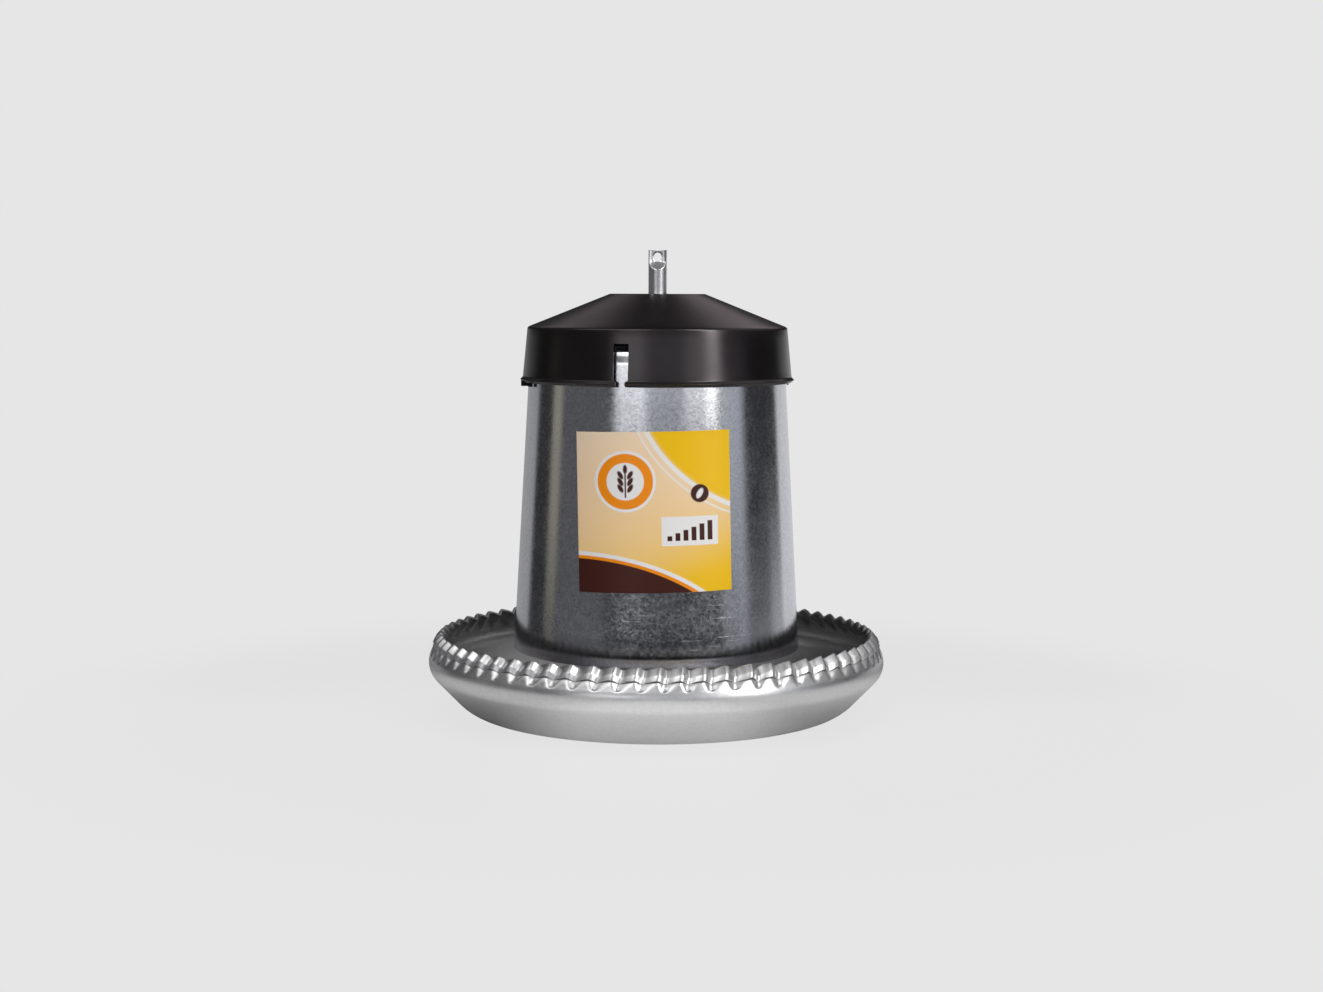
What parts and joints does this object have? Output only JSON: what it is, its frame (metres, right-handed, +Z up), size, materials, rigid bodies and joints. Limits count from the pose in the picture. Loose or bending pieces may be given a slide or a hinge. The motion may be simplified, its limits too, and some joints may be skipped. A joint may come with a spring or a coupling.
{
  "type": "hopper feeder",
  "caption": "Hanging poultry feeder: a tapered sheet-steel hopper over a round pan with a crimped rim, a centre tube to hang it by and a plastic lid that lifts off over it.",
  "frame": {"origin": "centre of the pan's underside on the ground", "axes": "+Z up along the centre tube, -Y towards the front, where the label is, +X to the label's right"},
  "size_m": [0.3, 0.3, 0.303],
  "materials": {
    "galvanised_sheet": "galvanised, fine spangle, semi-bright",
    "galvanised_tube": "galvanised, smooth",
    "black_plastic": "moulded, satin",
    "printed_label": "printed, coated"
  },
  "bodies": {
    "feeder": {"pan": "galvanised_sheet", "hopper": "galvanised_sheet", "hopper_bridge": "galvanised_sheet", "centre_tube": "galvanised_tube", "height_pin": "galvanised_tube", "upper_washer": "galvanised_tube", "lower_washer": "galvanised_tube", "label": "printed_label"},
    "lid": {"lid": "black_plastic"}
  },
  "joints": [
    {"name": "lid_lift", "type": "slide", "parent": "feeder", "child": "lid", "axis": [0, 0, 1], "range_m": [0, 0.09]}
  ]
}
